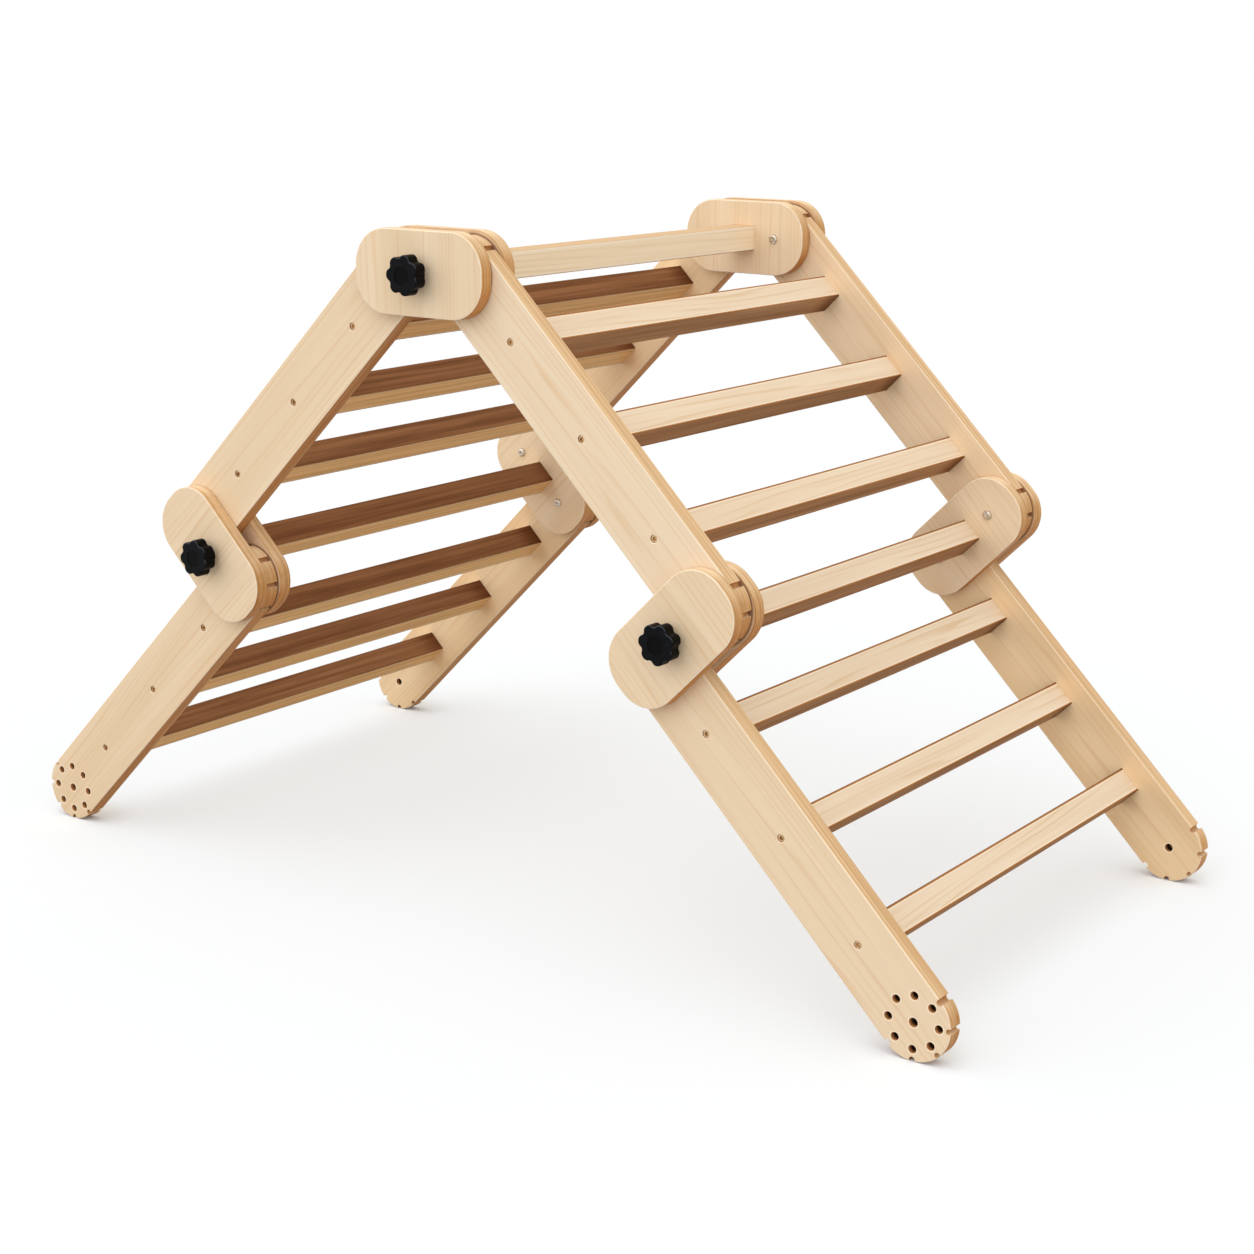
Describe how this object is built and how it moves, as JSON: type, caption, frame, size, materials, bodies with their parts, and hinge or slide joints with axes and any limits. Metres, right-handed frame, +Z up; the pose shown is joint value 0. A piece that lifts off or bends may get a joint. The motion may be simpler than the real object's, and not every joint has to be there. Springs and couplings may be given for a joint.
{
  "type": "folding climbing frame",
  "caption": "Wooden climbing frame for children: ladder sections with square rungs, joined by clamped plate hinges, stand as an arch and fold flat.",
  "frame": {"origin": "on the floor, below the middle of the top station", "axes": "+X from the left foot to the right one as the picture shows them, +Y along the rungs to the far side, +Z up"},
  "size_m": [1.2012, 0.6792, 0.7181],
  "materials": {
    "pale_wood": "satin clear lacquer on pale maple",
    "rung_wood": "satin clear lacquer, pale front and back with dark brown upper and lower sides",
    "black_plastic": "fine matt moulding",
    "bright_steel": "zinc plated",
    "dark_steel": "zinc plated, dulled"
  },
  "bodies": {
    "left_upper_section": {"left_upper_near_rail": "pale_wood", "left_upper_far_rail": "pale_wood", "left_upper_rung_1": "rung_wood", "left_upper_rung_2": "rung_wood", "left_upper_rung_3": "rung_wood", "left_upper_rung_screws": "dark_steel"},
    "left_lower_section": {"left_lower_near_rail": "pale_wood", "left_lower_far_rail": "pale_wood", "left_lower_rung_1": "rung_wood", "left_lower_rung_2": "rung_wood", "left_lower_rung_3": "rung_wood", "left_lower_rung_screws": "dark_steel"},
    "right_upper_section": {"right_upper_near_rail": "pale_wood", "right_upper_far_rail": "pale_wood", "right_upper_rung_1": "rung_wood", "right_upper_rung_2": "rung_wood", "right_upper_rung_3": "rung_wood", "right_upper_rung_screws": "dark_steel"},
    "right_lower_section": {"right_lower_near_rail": "pale_wood", "right_lower_far_rail": "pale_wood", "right_lower_rung_1": "rung_wood", "right_lower_rung_2": "rung_wood", "right_lower_rung_3": "rung_wood", "right_lower_rung_screws": "dark_steel"},
    "top_station": {"top_rung": "rung_wood", "top_near_outer_plate": "pale_wood", "top_near_inner_plate": "pale_wood", "top_far_outer_plate": "pale_wood", "top_far_inner_plate": "pale_wood", "top_pivot_bolts": "bright_steel", "top_pivot_sleeves": "bright_steel", "top_rung_inserts": "bright_steel"},
    "top_near_clamp": {"top_near_knob": "black_plastic", "top_near_stud": "bright_steel"},
    "top_far_clamp": {"top_far_knob": "black_plastic", "top_far_stud": "bright_steel"},
    "left_mid_station": {"left_mid_rung": "rung_wood", "left_mid_near_outer_plate": "pale_wood", "left_mid_near_inner_plate": "pale_wood", "left_mid_far_outer_plate": "pale_wood", "left_mid_far_inner_plate": "pale_wood", "left_mid_pivot_bolts": "bright_steel", "left_mid_pivot_sleeves": "bright_steel", "left_mid_rung_inserts": "bright_steel"},
    "left_mid_near_clamp": {"left_mid_near_knob": "black_plastic", "left_mid_near_stud": "bright_steel"},
    "left_mid_far_clamp": {"left_mid_far_knob": "black_plastic", "left_mid_far_stud": "bright_steel"},
    "right_mid_station": {"right_mid_rung": "rung_wood", "right_mid_near_outer_plate": "pale_wood", "right_mid_near_inner_plate": "pale_wood", "right_mid_far_outer_plate": "pale_wood", "right_mid_far_inner_plate": "pale_wood", "right_mid_pivot_bolts": "bright_steel", "right_mid_pivot_sleeves": "bright_steel", "right_mid_rung_inserts": "bright_steel"},
    "right_mid_near_clamp": {"right_mid_near_knob": "black_plastic", "right_mid_near_stud": "bright_steel"},
    "right_mid_far_clamp": {"right_mid_far_knob": "black_plastic", "right_mid_far_stud": "bright_steel"}
  },
  "joints": [
    {"name": "left_upper_hinge", "type": "hinge", "parent": "top_station", "child": "left_upper_section", "pos_m": [-0.0413, 0, 0.67612], "axis": [0, 1, 0], "range_deg": [-45, 45]},
    {"name": "left_mid_hinge", "type": "hinge", "parent": "left_upper_section", "child": "left_mid_station", "pos_m": [-0.33121, 0, 0.3862], "axis": [0, 1, 0], "range_deg": [0, 180]},
    {"name": "left_lower_hinge", "type": "hinge", "parent": "left_mid_station", "child": "left_lower_section", "pos_m": [-0.27281, 0, 0.3278], "axis": [0, 1, 0], "range_deg": [-135, 0]},
    {"name": "right_upper_hinge", "type": "hinge", "parent": "top_station", "child": "right_upper_section", "pos_m": [0.0413, 0, 0.67612], "axis": [0, 1, 0], "range_deg": [-45, 45]},
    {"name": "right_mid_hinge", "type": "hinge", "parent": "right_upper_section", "child": "right_mid_station", "pos_m": [0.33121, 0, 0.3862], "axis": [0, 1, 0], "range_deg": [-180, 0]},
    {"name": "right_lower_hinge", "type": "hinge", "parent": "right_mid_station", "child": "right_lower_section", "pos_m": [0.27281, 0, 0.3278], "axis": [0, 1, 0], "range_deg": [0, 135]},
    {"name": "top_near_knob_turn", "type": "hinge", "parent": "top_station", "child": "top_near_clamp", "pos_m": [0, 0, 0.67612], "axis": [0, -1, 0], "range_deg": [0, 900]},
    {"name": "top_far_knob_turn", "type": "hinge", "parent": "top_station", "child": "top_far_clamp", "pos_m": [0, 0, 0.67612], "axis": [0, 1, 0], "range_deg": [0, 900]},
    {"name": "left_mid_near_knob_turn", "type": "hinge", "parent": "left_mid_station", "child": "left_mid_near_clamp", "pos_m": [-0.30201, 0, 0.357], "axis": [0, -1, 0], "range_deg": [0, 900]},
    {"name": "left_mid_far_knob_turn", "type": "hinge", "parent": "left_mid_station", "child": "left_mid_far_clamp", "pos_m": [-0.30201, 0, 0.357], "axis": [0, 1, 0], "range_deg": [0, 900]},
    {"name": "right_mid_near_knob_turn", "type": "hinge", "parent": "right_mid_station", "child": "right_mid_near_clamp", "pos_m": [0.30201, 0, 0.357], "axis": [0, -1, 0], "range_deg": [0, 900]},
    {"name": "right_mid_far_knob_turn", "type": "hinge", "parent": "right_mid_station", "child": "right_mid_far_clamp", "pos_m": [0.30201, 0, 0.357], "axis": [0, 1, 0], "range_deg": [0, 900]}
  ]
}
